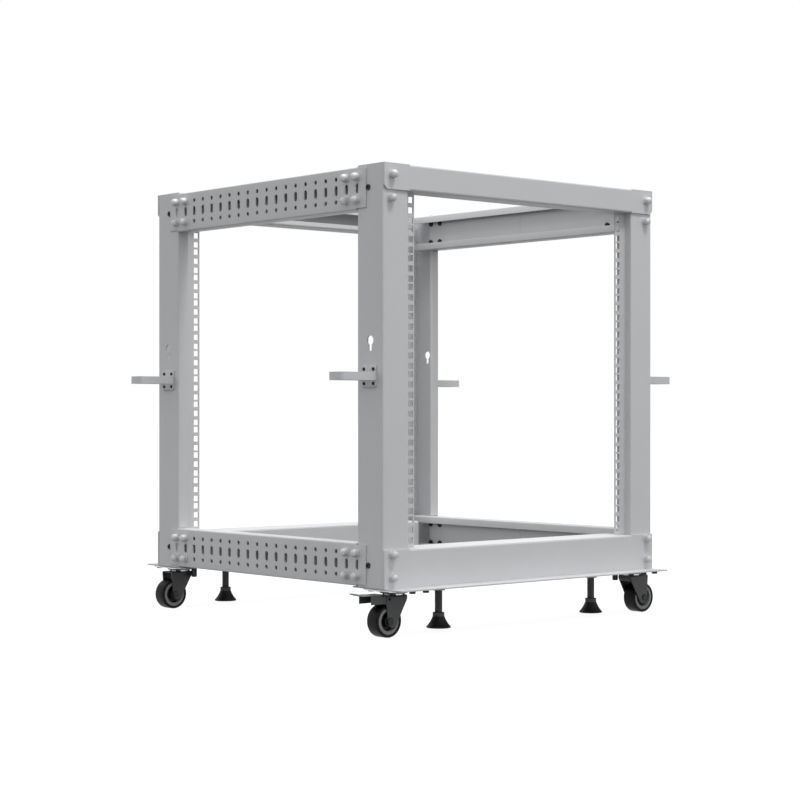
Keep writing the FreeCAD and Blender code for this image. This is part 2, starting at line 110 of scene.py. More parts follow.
FLOOR_SIZE = 60.0
FLOOR_WHITENESS = 0.85        # the rest of the floor's look is its shade
FLOOR_GLOW = 1.1
floor_mesh = bpy.data.meshes.new("floor")
bm = bmesh.new()
bmesh.ops.create_grid(bm, x_segments=1, y_segments=1, size=FLOOR_SIZE / 2)
bm.to_mesh(floor_mesh)
bm.free()
floor = bpy.data.objects.new("floor", floor_mesh)
scene.collection.objects.link(floor)
floor_paint = bpy.data.materials.new("matt_floor")
floor_paint.use_nodes = True
tree = floor_paint.node_tree
tree.nodes.clear()
matt = add_node(tree, "ShaderNodeBsdfDiffuse", {"Color": linear("#585858")})
shade = add_node(tree, "ShaderNodeBsdfDiffuse", {"Color": linear("#FFFFFF")})
glow = add_node(tree, "ShaderNodeEmission", {"Color": linear("#FFFFFF"), "Strength": FLOOR_GLOW})
pale = add_node(tree, "ShaderNodeMixShader", {0: FLOOR_WHITENESS, 1: shade.outputs[0], 2: glow.outputs[0]})
look = add_node(tree, "ShaderNodeMixShader", {0: seen_directly(tree), 1: matt.outputs[0], 2: pale.outputs[0]})
add_node(tree, "ShaderNodeOutputMaterial", {"Surface": look.outputs[0]})
floor_mesh.materials.append(floor_paint)


def area_lamp(name, place, target, size, watts):
    lamp = bpy.data.objects.new(name, bpy.data.lights.new(name, "AREA"))
    lamp.data.shape = "DISK"
    lamp.data.size = size
    lamp.data.energy = watts
    lamp.location = place
    lamp.rotation_euler = (Vector(target) - Vector(place)).to_track_quat("-Z", "Y").to_euler()
    scene.collection.objects.link(lamp)


area_lamp("key_lamp", (0.1, -2.1, 3.9), (0, 0, 0.4), 0.9, 62)
area_lamp("overhead_lamp", (0, 0.05, 1.7), (0, 0.05, 0), 0.6, 9)


# --- Painted sheet steel --------------------------------------------------
# Posts, beams and base plates are cold rolled sheet, punched, folded and
# powder coated. The coat is matt and slightly pebbled, and it rounds the
# cut edges.
PEBBLE = 0.0026               # orange peel, drawn twice as coarse as it is, to show
COAT_DRIFT = 0.09             # slow change of tone across a panel
FOLD_EASE = 0.0009            # radius of the coat over an edge


def start_material(name, base, roughness, metallic=0.0):
    """A material with an even finish, its node tree, its shader and its object coordinates."""
    material = bpy.data.materials.new(name)
    material.use_nodes = True
    shader = material.node_tree.nodes["Principled BSDF"]
    shader.inputs["Base Color"].default_value = linear(base)
    shader.inputs["Roughness"].default_value = roughness
    shader.inputs["Metallic"].default_value = metallic
    where = add_node(material.node_tree, "ShaderNodeTexCoord").outputs["Object"]
    return material, material.node_tree, shader, where


def colour_drift(tree, shader, where, size, dark, light):
    """Lets the base colour wander between two tones, over spots of that size."""
    spots = add_node(tree, "ShaderNodeTexNoise", {"Vector": where, "Scale": 1 / size, "Detail": 3.0})
    tone = add_node(tree, "ShaderNodeMix",
                    {"Factor": spots.outputs["Fac"], "A": linear(dark), "B": linear(light)}, data_type="RGBA")
    tree.links.new(tone.outputs["Result"], shader.inputs["Base Color"])


def surface_relief(tree, shader, where, size, depth, edge=0.0):
    """Fine relief from noise of that size, over edges rounded by the bevel radius."""
    grain = add_node(tree, "ShaderNodeTexNoise", {"Vector": where, "Scale": 1 / size, "Detail": 1.0})
    bump = add_node(tree, "ShaderNodeBump",
                    {"Height": grain.outputs["Fac"], "Strength": 1.0, "Distance": depth})
    if edge:
        eased = add_node(tree, "ShaderNodeBevel", {"Radius": edge}, samples=4)
        tree.links.new(eased.outputs[0], bump.inputs["Normal"])
    tree.links.new(bump.outputs[0], shader.inputs["Normal"])
    return grain.outputs["Fac"]


# Powder coating, sprayed and baked: a soft even sheen with no metal in it
powder_coat, tree, shader, where = start_material("powder_coat_light_grey", "#CBCCCE", 0.48)
colour_drift(tree, shader, where, COAT_DRIFT, "#C8C9CB", "#CECFD1")
pebble = surface_relief(tree, shader, where, PEBBLE, 0.00004, FOLD_EASE)
sheen = add_node(tree, "ShaderNodeMapRange", {"Value": pebble, "To Min": 0.42, "To Max": 0.54})
tree.links.new(sheen.outputs[0], shader.inputs["Roughness"])


CORNERS = {"front_left": (1, 1), "front_right": (-1, 1), "rear_left": (1, -1), "rear_right": (-1, -1)}
painted = [f"post_{corner}" for corner in CORNERS]
painted += [f"{part}_{end}" for part in ("top_beam", "bottom_beam", "base_plate")
            for end in ("front", "rear")]
for name in painted:
    frame["nodes"][name].material_slots[0].material = powder_coat


# --- Side rails -----------------------------------------------------------
# Lipped channels of 2 mm sheet, punched with a column of two round holes and
# a slot every inch, folded, powder coated, and bolted over the posts.
FOLD_STEPS = 4
RAIL_SHEET = 0.002
RAIL_BEND = 0.0022
RAIL_LIP = 0.013
RAIL_PITCH = 0.0254
RAIL_MARGIN = 0.018           # least metal between the last column's middle and the rail's end
RAIL_ROW = 0.0175             # from the slots' row to each row of round holes
RAIL_HOLE_RADIUS = 0.0034
RAIL_SLOT = (0.0078, 0.0155)  # width and length
HOLE_SIDES = 16
SLOT_SIDES = 20
POST_SHEET = 0.002
POST_DEPTH = 0.060
POST_GAP = 0.001              # between a post and the flanges of a rail
FLANGE_SETBACK = 0.0165       # from a post's face to the back of its mounting flange
MERGE_REACH = 1e-6            # vertices nearer than this are one
SQUARE = 1e-12                # two lines are square when their product is less


def finished_mesh(bm, name, sharp=0.6):
    """Closes a shape's seams, turns its faces outwards and keeps edges sharp past an angle in radians."""
    bmesh.ops.remove_doubles(bm, verts=bm.verts, dist=MERGE_REACH)
    bmesh.ops.recalc_face_normals(bm, faces=bm.faces)
    for face in bm.faces:
        face.smooth = True
    for edge in bm.edges:
        edge.smooth = edge.calc_face_angle(pi) < sharp
    mesh = bpy.data.meshes.new(name)
    bm.to_mesh(mesh)
    bm.free()
    return mesh


def mirrored(corner):
    """Carries a shape from the front left corner to another."""
    return Matrix.Diagonal((*CORNERS[corner], 1, 1))


def add_piece(name, body, material, shapes, replaced=()):
    """Joins meshes, each with its place, in one piece that rides a body."""
    bm = bmesh.new()
    for mesh, place in shapes:
        verts, faces = len(bm.verts), len(bm.faces)
        bm.from_mesh(mesh)
        bm.verts.ensure_lookup_table()
        bm.faces.ensure_lookup_table()
        bmesh.ops.transform(bm, matrix=place, verts=bm.verts[verts:])
        if place.determinant() < 0:
            bmesh.ops.reverse_faces(bm, faces=bm.faces[faces:])
    joined = bpy.data.meshes.new(name)
    bm.to_mesh(joined)
    bm.free()
    joined.materials.append(material)
    piece = bpy.data.objects.new(name, joined)
    scene.collection.objects.link(piece)
    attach(piece, body)
    if replaced:
        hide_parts(*replaced)


def bevel(bm, geom, radius, segments, affect="EDGES"):
    return bmesh.ops.bevel(bm, geom=geom, offset=radius, offset_type="OFFSET", segments=segments, profile=0.5,
                           affect=affect, material=-1, clamp_overlap=True)


def fold(bm, edges, centre, axis):
    """Carries edges a quarter turn round a bend and returns the edges at its far side."""
    bent = bmesh.ops.spin(bm, geom=[v for e in edges for v in e.verts] + edges, cent=centre, axis=axis,
                          angle=pi / 2, steps=FOLD_STEPS, dvec=(0, 0, 0))
    return [g for g in bent["geom_last"] if isinstance(g, bmesh.types.BMEdge)]


def draw_out(bm, edges, way):
    """Extrudes edges by a vector and returns the new edges."""
    new = bmesh.ops.extrude_edge_only(bm, edges=edges)["geom"]
    bmesh.ops.translate(bm, vec=way, verts=[g for g in new if isinstance(g, bmesh.types.BMVert)])
    return [g for g in new if isinstance(g, bmesh.types.BMEdge) and not g.link_faces[1:]
            and abs((g.verts[0].co - g.verts[1].co).dot(Vector(way))) < SQUARE]


def flange(bm, edges, inner, level, up):
    """Draws a flange inwards from edges at a level, and bends its lip back."""
    x = edges[0].verts[0].co.x
    bend = draw_out(bm, edges, (inner - RAIL_BEND - x, 0, 0))
    bend = fold(bm, bend, (inner - RAIL_BEND, 0, level - up * RAIL_BEND), (0, up, 0))
    draw_out(bm, bend, (0, 0, -up * (RAIL_LIP - RAIL_BEND)))


def thicken(bm, faces, sheet, outside):
    """Gives a bent sheet its thickness, inwards from the large face that looks the way given."""
    outside = Vector(outside)
    flat = max(faces, key=lambda f: abs(f.normal.dot(outside)) * f.calc_area())
    bmesh.ops.solidify(bm, geom=faces, thickness=sheet if flat.normal.dot(outside) > 0 else -sheet)


def rail_end_mesh(rail, post):
    """The flanges and lips of a left rail inside the front post, behind its mounting flange."""
    low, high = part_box(rail)
    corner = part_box(post)[0]
    bm = bmesh.new()
    for up, level in ((-1, low.z), (1, high.z)):
        verts = [bm.verts.new((corner.x + POST_SHEET, corner.y + inset, level))
                 for inset in (FLANGE_SETBACK, POST_DEPTH + POST_GAP)]
        flange(bm, [bm.edges.new(verts)], high.x, level, up)
    bmesh.ops.recalc_face_normals(bm, faces=bm.faces)
    for up in (-1, 1):
        faces = [f for f in bm.faces if (f.calc_center_median().z - (low.z + high.z) / 2) * up > 0]
        thicken(bm, faces, RAIL_SHEET, (0, 0, up))
    return finished_mesh(bm, rail + "_end")


def rail_mesh(rail, post):
    """One rail on the left, from the boxes of its CAD node and of a post."""
    low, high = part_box(rail)
    face = low.x
    middle = (low.z + high.z) / 2
    flange_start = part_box(post)[1].y + POST_GAP
    columns = int((high.y - low.y - 2 * RAIL_MARGIN) / RAIL_PITCH) + 1
    stations = (low.y, flange_start, -flange_start, high.y)
    bm = bmesh.new()
    corners = [bm.verts.new((face, along, low.z + RAIL_BEND)) for along in stations]
    corners += [bm.verts.new((face, along, high.z - RAIL_BEND)) for along in reversed(stations)]
    rim = [bm.edges.new((a, b)) for a, b in zip(corners, corners[1:] + corners[:1])]
    turn = Matrix.Rotation(pi / 2, 4, "Y")
    stretch = (RAIL_SLOT[1] - RAIL_SLOT[0]) / 2
    for column in range(columns):
        along = (column - (columns - 1) / 2) * RAIL_PITCH
        for up in (-RAIL_ROW, RAIL_ROW):
            hole = Matrix.Translation((face, along, middle + up)) @ turn
            bmesh.ops.create_circle(bm, segments=HOLE_SIDES, radius=RAIL_HOLE_RADIUS, matrix=hole)
        slot = bmesh.ops.create_circle(bm, segments=SLOT_SIDES, radius=RAIL_SLOT[0] / 2,
                                       matrix=Matrix.Translation((face, along, middle)) @ turn)
        for vert in slot["verts"]:
            vert.co.z += stretch if vert.co.z > middle else -stretch
    bmesh.ops.triangle_fill(bm, edges=bm.edges[:], use_beauty=True)
    for edge, up, level in ((rim[1], -1, low.z), (rim[5], 1, high.z)):
        centre = (face + RAIL_BEND, 0, level - up * RAIL_BEND)
        flange(bm, fold(bm, [edge], centre, (0, up, 0)), high.x, level, up)
    bm.normal_update()
    core = Vector(((low.x + high.x) / 2, 0, middle))
    for sheet_face in bm.faces:
        outward = sheet_face.calc_center_median() - core
        outward.y = 0
        if sheet_face.normal.dot(outward) < 0:
            sheet_face.normal_flip()
    bmesh.ops.solidify(bm, geom=bm.faces[:], thickness=RAIL_SHEET)
    return finished_mesh(bm, rail)


for level in ("top", "bottom"):
    shape = rail_mesh(f"{level}_rail_left", "post_front_left")
    end = rail_end_mesh(f"{level}_rail_left", "post_front_left")
    for side in ("left", "right"):
        ends = [(end, mirrored(f"{way}_{side}")) for way in ("front", "rear")]
        add_piece(f"{level}_punched_rail_{side}", "frame", powder_coat,
                  [(shape, mirrored(f"front_{side}"))] + ends, (f"{level}_rail_{side}",))


# --- Inner channels of the rails ------------------------------------------
# Behind each punched web lie two plain channels of folded sheet, end to end,
# that close the rail and stop short of the posts. Powder coated.
LINER_SHEET = 0.0015
LINER_BEND = 0.0022
LINER_END = 0.247             # from the rack's middle
LINER_SEAM = 0.0006


def liner_mesh(liner):
    low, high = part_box(liner)
    run = high.x - low.x - LINER_BEND
    inner = high.x - LINER_BEND
    bm = bmesh.new()
    for first, last in ((-LINER_END, -LINER_SEAM / 2), (LINER_SEAM / 2, LINER_END)):
        start = [bm.verts.new((low.x, along, low.z)) for along in (first, last)]
        edges = draw_out(bm, [bm.edges.new(start)], (run, 0, 0))
        edges = fold(bm, edges, (inner, 0, low.z + LINER_BEND), (0, -1, 0))
        edges = draw_out(bm, edges, (0, 0, high.z - low.z - 2 * LINER_BEND))
        edges = fold(bm, edges, (inner, 0, high.z - LINER_BEND), (0, -1, 0))
        draw_out(bm, edges, (-run, 0, 0))
    bmesh.ops.recalc_face_normals(bm, faces=bm.faces)
    for half in (-1, 1):
        faces = [f for f in bm.faces if f.calc_center_median().y * half > 0 and len(f.verts) == 4]
        thicken(bm, faces, LINER_SHEET, (1, 0, 0))
    return finished_mesh(bm, liner)


for level in ("top", "bottom"):
    shape = liner_mesh(f"{level}_rail_liner_left")
    for side in ("left", "right"):
        add_piece(f"{level}_inner_channel_{side}", "frame", powder_coat,
                  [(shape, mirrored(f"front_{side}"))], (f"{level}_rail_liner_{side}",))


# --- Bolts of the rails and beams -----------------------------------------
# Steel dome nuts on washers, with a zinc flake coat: four hold each end of a
# side rail and two each end of a beam. Black nuts back the rail's bolts.
WASHER_RADIUS = 0.0066
WASHER_SHEET = 0.0016
DOME_RADIUS = 0.0060
DOME_SIDE = 0.0042
NUT_RADIUS = 0.0050
NUT_HEIGHT = 0.0030
BOLT_TIP = (0.0029, 0.0020)   # radius and length of what stands past a nut
BOLT_CHAMFER = 0.0005
LAST_COLUMN = 19              # the rails' columns of holes, counted from 0
ROUND_STEPS = 32
EASE = 0.0004


def turned(bm, profile, place, axis, steps=ROUND_STEPS, closed=False):
    """Carries a profile of radii and heights round an axis."""
    axis = Vector(axis)
    across = axis.orthogonal().normalized()
    verts = [bm.verts.new(Vector(place) + across * radius + axis * height) for radius, height in profile]
    ends = verts[1:] + (verts[:1] if closed else [])
    edges = [bm.edges.new(pair) for pair in zip(verts, ends)]
    bmesh.ops.spin(bm, geom=verts + edges, cent=place, axis=axis, angle=2 * pi, steps=steps, use_merge=True,
                   use_duplicate=False, dvec=(0, 0, 0))


def arc(centre, radius, first, last, count):
    """Points of a profile along an arc, from one angle to another in degrees."""
    angles = [(first + (last - first) * k / count) * pi / 180 for k in range(count + 1)]
    return [(centre[0] + radius * cos(angle), centre[1] + radius * sin(angle)) for angle in angles]


def hexagon(bm, radius, low, high):
    """A six sided nut about the Z axis, with eased edges."""
    nut = bmesh.ops.create_cone(bm, cap_ends=True, segments=6, radius1=radius, radius2=radius,
                                depth=high - low, matrix=Matrix.Translation((0, 0, (low + high) / 2)))
    bevel(bm, list({e for v in nut["verts"] for e in v.link_edges}), EASE, 2)


bm = bmesh.new()
washer = [(0, 0), (WASHER_RADIUS, 0)] + arc((WASHER_RADIUS - EASE, WASHER_SHEET - EASE), EASE, 0, 90, 3)
turned(bm, washer + [(0, WASHER_SHEET)], (0, 0, 0), (0, 0, 1))
dome_foot = WASHER_SHEET + DOME_SIDE
turned(bm, [(0, WASHER_SHEET), (DOME_RADIUS, WASHER_SHEET)] + arc((0, dome_foot), DOME_RADIUS, 0, 90, 8),
       (0, 0, 0), (0, 0, 1))
dome_nut = finished_mesh(bm, "dome_nut")

bm = bmesh.new()
hexagon(bm, NUT_RADIUS, 0, NUT_HEIGHT)
tip = NUT_HEIGHT + BOLT_TIP[1]
turned(bm, [(0, NUT_HEIGHT), (BOLT_TIP[0], NUT_HEIGHT), (BOLT_TIP[0], tip - BOLT_CHAMFER),
            (BOLT_TIP[0] - BOLT_CHAMFER, tip), (0, tip)], (0, 0, 0), (0, 0, 1), 20)
hex_nut = finished_mesh(bm, "hex_nut")

# Zinc flake coating, dipped and baked: a matt silver grey, hardly a metal to the eye
zinc_flake, tree, shader, where = start_material("zinc_flake_coat", "#C9CACC", 0.5, 0.25)
colour_drift(tree, shader, where, 0.006, "#C0C1C4", "#D0D1D3")
surface_relief(tree, shader, where, 0.0006, 0.00001)

# Black oxide on steel: dark, a little oily, brown black where it is thin
black_oxide, tree, shader, where = start_material("black_oxide_steel", "#161617", 0.5, 0.2)
colour_drift(tree, shader, where, 0.012, "#121213", "#1C1C1E")
surface_relief(tree, shader, where, 0.0008, 0.00001)


def facing(place, way):
    """Stands a shape made about the Z axis at a place, with its top turned to the way given."""
    return Matrix.Translation(place) @ Vector(way).to_track_quat("Z", "Y").to_matrix().to_4x4()


rail_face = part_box("top_rail_left")[0].x
liner_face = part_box("top_rail_liner_left")[1].x
rail_bolts = []
for level in ("top", "bottom"):
    low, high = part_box(f"{level}_rail_left")
    for column in (0, 1):
        along = (column - LAST_COLUMN / 2) * RAIL_PITCH
        for up in (-RAIL_ROW, RAIL_ROW):
            rail_bolts.append(Vector((rail_face, along, (low.z + high.z) / 2 + up)))
for corner in CORNERS:
    add_piece(f"rail_dome_nuts_{corner}", "frame", zinc_flake,
              [(dome_nut, mirrored(corner) @ facing(place, (-1, 0, 0))) for place in rail_bolts])
    add_piece(f"rail_backing_nuts_{corner}", "frame", black_oxide,
              [(hex_nut, mirrored(corner) @ facing((liner_face, place.y, place.z), (1, 0, 0)))
               for place in rail_bolts])

BEAM_BOLT_INSET = 0.0155
BEAM_BOLT_RISE = 0.0025       # over the middle of the top beam
POST_BOLT_DROP = 0.0125       # under the top beam
LOW_BOLTS = (0.017, 0.052)    # above the base plate
beam_low, beam_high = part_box("top_beam_front")
base_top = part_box("base_plate_front")[1].z
corner_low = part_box("post_front_left")[0]
side = beam_low.x + BEAM_BOLT_INSET
front_bolts = [Vector((side, beam_low.y, base_top + up)) for up in LOW_BOLTS]
front_bolts += [Vector((side, beam_low.y, (beam_low.z + beam_high.z) / 2 + BEAM_BOLT_RISE)),
                Vector((side, corner_low.y, beam_low.z - POST_BOLT_DROP))]
for corner in CORNERS:
    add_piece(f"beam_dome_nuts_{corner}", "frame", zinc_flake,
              [(dome_nut, mirrored(corner) @ facing(place, (0, -1, 0))) for place in front_bolts])


# --- Screws of the posts --------------------------------------------------
# A black socket screw in the web of each post, level with each side rail,
# holds the corner together.
POST_SCREW = (0.0045, 0.0026) # radius and height of the head
POST_SCREW_INSET = 0.034
SOCKET = (0.0023, 0.0018)     # radius and depth


def socket_screw(radius, height, socket, depth):
    """A button head about the Z axis with a hexagonal socket in its top."""
    bm = bmesh.new()
    turned(bm, [(0, 0), (radius, 0)] + arc((radius - height / 2, height / 2), height / 2, 0, 90, 5),
           (0, 0, 0), (0, 0, 1))
    bmesh.ops.remove_doubles(bm, verts=bm.verts, dist=MERGE_REACH)
    rim = [edge for edge in bm.edges if edge.is_boundary]
    top = bmesh.ops.contextual_create(bm, geom=rim)["faces"]
    hole = bmesh.ops.create_circle(bm, segments=6, radius=socket, matrix=Matrix.Translation((0, 0, height)))
    around = [edge for edge in top[0].edges]
    inner = list({edge for vert in hole["verts"] for edge in vert.link_edges})
    bmesh.ops.delete(bm, geom=top, context="FACES_ONLY")
    bmesh.ops.triangle_fill(bm, edges=around + inner, use_beauty=True)
    walls = bmesh.ops.extrude_edge_only(bm, edges=inner)["geom"]
    sunk = [g for g in walls if isinstance(g, bmesh.types.BMVert)]
    bmesh.ops.translate(bm, vec=(0, 0, -depth), verts=sunk)
    bmesh.ops.contextual_create(bm, geom=sunk)
    return finished_mesh(bm, "socket_screw")


post_screw = socket_screw(*POST_SCREW, *SOCKET)
screw_places = []
for level in ("top", "bottom"):
    low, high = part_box(f"{level}_rail_left")
    screw_places.append((corner_low.x, corner_low.y + POST_SCREW_INSET, (low.z + high.z) / 2))
for corner in CORNERS:
    add_piece(f"post_screws_{corner}", "frame", black_oxide,
              [(post_screw, mirrored(corner) @ facing(place, (-1, 0, 0))) for place in screw_places])


# --- Cable hooks ----------------------------------------------------------
# Closed loops of flat strip, bent round at two corners and welded to a small
# plate, with four screws to the web of each post. Powder coated.
HOOK_SHEET = 0.0025
HOOK_STRAP = 0.0125
HOOK_CORNER = 0.005
HOOK_PLATE = 0.002
HOOK_SPAN = (0.014, 0.048)    # from the post's front to the two sides of the hook
HOOK_PLATE_CORNER = 0.004
HOOK_SCREW = (0.0027, 0.0016) # radius and height of the head
HOOK_SCREW_SOCKET = (0.0013, 0.001)
HOOK_SCREW_PITCH = 0.022
CLOSE = 1e-7                  # two measures nearer than this are one


def block(bm, low, high):
    """A box between two corners. Returns its edges, sorted by the axis they run along."""
    low, high = Vector(low), Vector(high)
    made = bmesh.ops.create_cube(bm, size=1.0, matrix=Matrix.Translation((low + high) / 2)
                                 @ Matrix.Diagonal((*(high - low), 1)))
    edges = {edge for vert in made["verts"] for edge in vert.link_edges}
    along = {"x": [], "y": [], "z": []}
    for edge in edges:
        run = edge.verts[0].co - edge.verts[1].co
        along["xyz"[max(range(3), key=lambda k: abs(run[k]))]].append(edge)
    return along


def rounded_plate(low, high, axis, corner):
    """A flat plate across an axis, with round corners and eased edges."""
    bm = bmesh.new()
    bevel(bm, block(bm, low, high)[axis], corner, 6)
    across = "xyz".index(axis)
    rim = [e for e in bm.edges if abs(e.verts[0].co[across] - e.verts[1].co[across]) < CLOSE
           and e.calc_face_angle(0) > 1.2]
    bevel(bm, rim, EASE, 2)
    return bm


def hook_mesh():
    low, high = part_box("cable_hooks")
    plate_low = Vector((corner_low.x - HOOK_PLATE, corner_low.y + HOOK_SPAN[0], low.z))
    plate_high = Vector((corner_low.x, corner_low.y + HOOK_SPAN[1], high.z))
    bm = rounded_plate(plate_low, plate_high, "x", HOOK_PLATE_CORNER)
    middle = (plate_low + plate_high) / 2
    strap_low = middle.z - HOOK_STRAP / 2
    path = [(plate_low.x, plate_low.y), (low.x, plate_low.y),
            (low.x, plate_high.y), (plate_low.x, plate_high.y)]
    verts = [bm.verts.new((x, y, strap_low)) for x, y in path]
    edges = [bm.edges.new(pair) for pair in zip(verts, verts[1:])]
    draw_out(bm, edges, (0, 0, HOOK_STRAP))
    bends = [e for e in bm.edges if all(abs(v.co.x - low.x) < CLOSE for v in e.verts)
             and abs(e.verts[0].co.y - e.verts[1].co.y) < CLOSE]
    bevel(bm, bends, HOOK_CORNER, 6)
    rims = (strap_low, strap_low + HOOK_STRAP)
    strap = [f for f in bm.faces if all(min(abs(v.co.z - rim) for rim in rims) < CLOSE for v in f.verts)
             and abs(f.normal.z) < 0.1 and len(f.verts) == 4 and f.calc_area() > 1e-6
             and any(abs(v.co.x) > abs(plate_low.x) + CLOSE for v in f.verts)]
    outward = sum((f.calc_center_median() - middle).dot(f.normal) for f in strap) > 0
    bmesh.ops.solidify(bm, geom=strap, thickness=HOOK_SHEET if outward else -HOOK_SHEET)
    return finished_mesh(bm, "cable_hook"), middle


hook, hook_middle = hook_mesh()
hook_screw = socket_screw(*HOOK_SCREW, *HOOK_SCREW_SOCKET)
half = HOOK_SCREW_PITCH / 2
hook_plate_face = corner_low.x - HOOK_PLATE
hook_screws = [(hook_plate_face, hook_middle.y + y, hook_middle.z + z)
               for y in (-half, half) for z in (-half, half)]
add_piece("strap_loops", "frame", powder_coat,
          [(hook, mirrored(corner)) for corner in CORNERS], ("cable_hooks",))
add_piece("strap_loop_screws", "frame", black_oxide,
          [(hook_screw, mirrored(corner) @ facing(place, (-1, 0, 0)))
           for corner in CORNERS for place in hook_screws])


# --- Caster heads ---------------------------------------------------------
# Each caster bolts up through a zinc plated top plate with round corners. The
# pressed cup under it holds the ball race, which the fork turns on. Four black
# blocks set on the race are painted reflection: they darken the middle of its bright band.
PLATE_SIZE = (0.056, 0.064)
PLATE_SHEET = 0.0018
PLATE_CORNER = 0.005
CUP_RADIUS = 0.0215
CUP_DROP = 0.0040
CUP_ROUND = 0.0012
RACE_RADIUS = 0.0150
RACE_DROP = 0.0024
DARK_BLOCK = (0.009, 0.0036, 0.0023)  # along the rim, across it and high
DARK_BLOCK_REACH = 0.0166
DARK_BLOCK_ROUND = 0.001
HEAD_LEAD = 0.006             # the head stands this much further in than the solid's axis

plate_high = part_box("caster_plates")[1]
joint_place = {joint["name"]: Vector(joint["pos_m"]) for joint in frame["joints"] if "pos_m" in joint}
swivel = joint_place["swivel_front_left"]
head = swivel + Vector((HEAD_LEAD, 0, 0))
cup_top = plate_high.z - PLATE_SHEET
cup_foot = cup_top - CUP_DROP
crown_top = cup_foot - RACE_DROP
half_plate = Vector((PLATE_SIZE[0] / 2, PLATE_SIZE[1] / 2, 0))

plate_corners = (Vector((swivel.x, swivel.y, cup_top)) - half_plate,
                 Vector((swivel.x, swivel.y, plate_high.z)) + half_plate)
plate = finished_mesh(rounded_plate(*plate_corners, "z", PLATE_CORNER), "caster_plate")
bm = bmesh.new()
turned(bm, [(0, cup_foot)] + arc((CUP_RADIUS - CUP_ROUND, cup_foot + CUP_ROUND), CUP_ROUND, -90, 0, 4)
       + [(CUP_RADIUS, cup_top), (0, cup_top)], (head.x, head.y, 0), (0, 0, 1), 64)
cup = finished_mesh(bm, "race_cup")
bm = bmesh.new()
turned(bm, [(0, cup_foot), (RACE_RADIUS, cup_foot), (RACE_RADIUS, crown_top), (0, crown_top)],
       (head.x, head.y, 0), (0, 0, 1), 48)
race = finished_mesh(bm, "ball_race")
# Black blocks on the race: painted reflection, the dark middle of its bright band
bm = bmesh.new()
for quarter in range(4):
    place = Matrix.Translation((head.x, head.y, crown_top))
    place = place @ Matrix.Rotation((quarter + 0.5) * pi / 2, 4, "Z")
    before = len(bm.verts)
    dark_block = block(bm, (DARK_BLOCK_REACH - DARK_BLOCK[1], -DARK_BLOCK[0] / 2, 0), (DARK_BLOCK_REACH, DARK_BLOCK[0] / 2, DARK_BLOCK[2]))
    bevel(bm, dark_block["z"], DARK_BLOCK_ROUND, 3)
    bm.verts.ensure_lookup_table()
    bmesh.ops.transform(bm, matrix=place, verts=bm.verts[before:])
dark_reflection_blocks = finished_mesh(bm, "dark_reflection_blocks")

# Bright zinc plating: a cool grey metal with a faint cloudy bloom
zinc_plate, tree, shader, where = start_material("bright_zinc_plate", "#D6D8DA", 0.34, 0.9)
colour_drift(tree, shader, where, 0.006, "#CCCED0", "#E0E2E4")
surface_relief(tree, shader, where, 0.0006, 0.00001)

# The same zinc plating on pressed steel, made darker to paint in the shade under the top plate: painted shade
zinc_painted_shade, tree, shader, where = start_material("zinc_plate_painted_shade", "#85878A", 0.5, 0.3)
colour_drift(tree, shader, where, 0.006, "#7C7E81", "#8F9194")
surface_relief(tree, shader, where, 0.0006, 0.00001)

# The race cups take the darkened zinc: painted shade under the top plate
for name, shape, finish, nodes in (("caster_top_plates", plate, zinc_plate, ("caster_plates",)),
                                   ("race_cups", cup, zinc_painted_shade, ()), ("ball_races", race, zinc_plate, ()),
                                   ("race_dark_reflection_blocks", dark_reflection_blocks, black_oxide, ())):
    add_piece(name, "frame", finish, [(shape, mirrored(corner)) for corner in CORNERS], nodes)


# --- Bolts of the casters -------------------------------------------------
# Four steel bolts hold each top plate, the inner one a long bolt where no
# brake swings under it, and two nuts sit under the outward lip beside it.
PLATE_BOLTS = ((0.008, -0.009), (0.048, -0.009), (0.010, 0.039), (0.048, 0.038))
LIP_NUTS = ((0.029, -0.034), (0.056, -0.034))   # both from the corner of the post
SHORT_NUT = 0.0020
LIP_NUT = 0.0037
LONG_NUT = 0.0040
LONG_BOLT = (0.0048, 0.0165)  # radius and length
LONG_CHAMFER = 0.001
BRAKED = ("front_left", "rear_right")

bm = bmesh.new()
hexagon(bm, NUT_RADIUS, 0, SHORT_NUT)
short_nut = finished_mesh(bm, "short_nut")
bm = bmesh.new()
hexagon(bm, NUT_RADIUS, 0, LIP_NUT)
lip_nut = finished_mesh(bm, "lip_nut")
bm = bmesh.new()
hexagon(bm, NUT_RADIUS, 0, LONG_NUT)
turned(bm, [(0, LONG_NUT), (LONG_BOLT[0], LONG_NUT), (LONG_BOLT[0], LONG_BOLT[1] - LONG_CHAMFER),
            (LONG_BOLT[0] - LONG_CHAMFER, LONG_BOLT[1]), (0, LONG_BOLT[1])], (0, 0, 0), (0, 0, 1), 24)
long_bolt = finished_mesh(bm, "long_bolt")
for corner in CORNERS:
    shapes = [(lip_nut, (across, along, plate_high.z)) for across, along in LIP_NUTS]
    shapes += [(short_nut, (across, along, cup_top)) for across, along in PLATE_BOLTS[:3]]
    shapes.append((short_nut if corner in BRAKED else long_bolt, (*PLATE_BOLTS[3], cup_top)))
    add_piece(f"caster_bolts_{corner}", "frame", black_oxide,
              [(shape, mirrored(corner) @ facing((corner_low.x + x, corner_low.y + y, z), (0, 0, -1)))
               for shape, (x, y, z) in shapes])


# --- Caster forks ---------------------------------------------------------
# Pressed from one sheet: a crown with two cheeks that narrow to a rounded
# end about the axle, and a short skirt ahead. Stove enamelled black.
FORK_SHEET = 0.0018
FORK_BEND = 0.003
FORK_LENGTH = 0.0415
FORK_HALF = 0.0148
FORK_SHOULDER = 0.006
SHOULDER_ROUND = 0.002
FORK_EYE_RADIUS = 0.0095
FORK_EYE_LEAD = 0.0045
FORK_SKIRT = 0.010
WELD = 0.0002                 # how far the skirt runs into the sheet round it

axle = joint_place["roll_front_left"]
eye = axle + Vector((FORK_EYE_LEAD, 0, 0))


